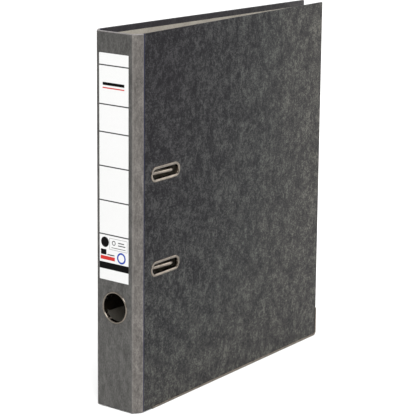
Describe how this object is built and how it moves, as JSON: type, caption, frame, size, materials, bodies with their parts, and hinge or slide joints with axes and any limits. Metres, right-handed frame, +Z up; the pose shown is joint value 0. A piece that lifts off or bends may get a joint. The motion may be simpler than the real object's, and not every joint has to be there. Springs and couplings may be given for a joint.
{
  "type": "lever arch file",
  "caption": "Upright A4 binder: marbled board covers with metal-rimmed slots and edge guards, rounded spine with ruled label and thumb ring, and a lever-worked arch mechanism inside.",
  "frame": {"origin": "centre of the bottom of the whole file, on the surface it stands on", "axes": "+Z up along the spine's height; +Y from the spine to the open fore edge; +X from the back cover, which carries the mechanism, to the slotted front cover"},
  "size_m": [0.0509, 0.2861, 0.318],
  "materials": {
    "marbled_paper": "matt, cloud-marbled charcoal",
    "spine_paper": "matt mid-grey, faintly mottled",
    "grey_board": "dense grey binding board",
    "lining_paper": "matt warm grey",
    "label_paper": "smooth white, ruled",
    "nickel_steel": "nickel plated, satin to bright",
    "spring_steel": "oiled",
    "clip_plastic": "black"
  },
  "bodies": {
    "back_cover": {"back_cover_board": "grey_board", "back_cover_paper": "marbled_paper", "back_hinge_strip": "spine_paper", "back_lining": "lining_paper", "back_edge_guard": "nickel_steel", "base_plate": "nickel_steel", "lever_bracket": "nickel_steel", "lever_pivot_pin": "nickel_steel", "lower_post": "nickel_steel", "upper_post": "nickel_steel", "mounting_rivet_1": "nickel_steel", "mounting_rivet_2": "nickel_steel", "mounting_rivet_3": "nickel_steel", "mounting_rivet_4": "nickel_steel", "arch_spring": "spring_steel"},
    "spine": {"spine_board": "grey_board", "spine_covering": "spine_paper", "spine_lining": "lining_paper", "spine_label": "label_paper", "thumb_ring": "nickel_steel", "thumb_ring_washer": "nickel_steel"},
    "front_cover": {"front_cover_board": "grey_board", "front_cover_paper": "marbled_paper", "front_hinge_strip": "spine_paper", "front_lining": "lining_paper", "front_edge_guard": "nickel_steel", "lower_slot_eyelet": "nickel_steel", "upper_slot_eyelet": "nickel_steel"},
    "arches": {"arch_wire": "nickel_steel"},
    "lever": {"lever_arm": "nickel_steel", "roller_pin": "nickel_steel"},
    "roller": {"lever_roller": "nickel_steel"},
    "compressor": {"compressor_bar": "nickel_steel", "lower_compressor_clip": "clip_plastic", "upper_compressor_clip": "clip_plastic"}
  },
  "joints": [
    {"name": "spine_hinge", "type": "hinge", "parent": "back_cover", "child": "spine", "pos_m": [-0.02318, -0.14068, 0.159], "axis": [0, 0, -1], "range_deg": [0, 90]},
    {"name": "front_cover_hinge", "type": "hinge", "parent": "spine", "child": "front_cover", "pos_m": [0.02318, -0.14068, 0.159], "axis": [0, 0, -1], "range_deg": [0, 180]},
    {"name": "arch_pivot", "type": "hinge", "parent": "back_cover", "child": "arches", "pos_m": [-0.0172, -0.1225, 0.1604], "axis": [0, 0, -1], "range_deg": [0, 50]},
    {"name": "lever_pivot", "type": "hinge", "parent": "back_cover", "child": "lever", "pos_m": [-0.0109, -0.1085, 0.128], "axis": [0, 1, 0], "range_deg": [0, 75]},
    {"name": "roller_spin", "type": "hinge", "parent": "lever", "child": "roller", "pos_m": [-0.0119, -0.1085, 0.1405], "axis": [0, 1, 0], "continuous": true},
    {"name": "compressor_slide", "type": "slide", "parent": "back_cover", "child": "compressor", "axis": [1, 0, 0], "range_m": [0, 0.021]}
  ],
  "couplings": [
    {"joint": "arch_pivot", "follows": "spine_hinge", "ratio": 0.55},
    {"joint": "lever_pivot", "follows": "spine_hinge", "ratio": 0.83}
  ]
}
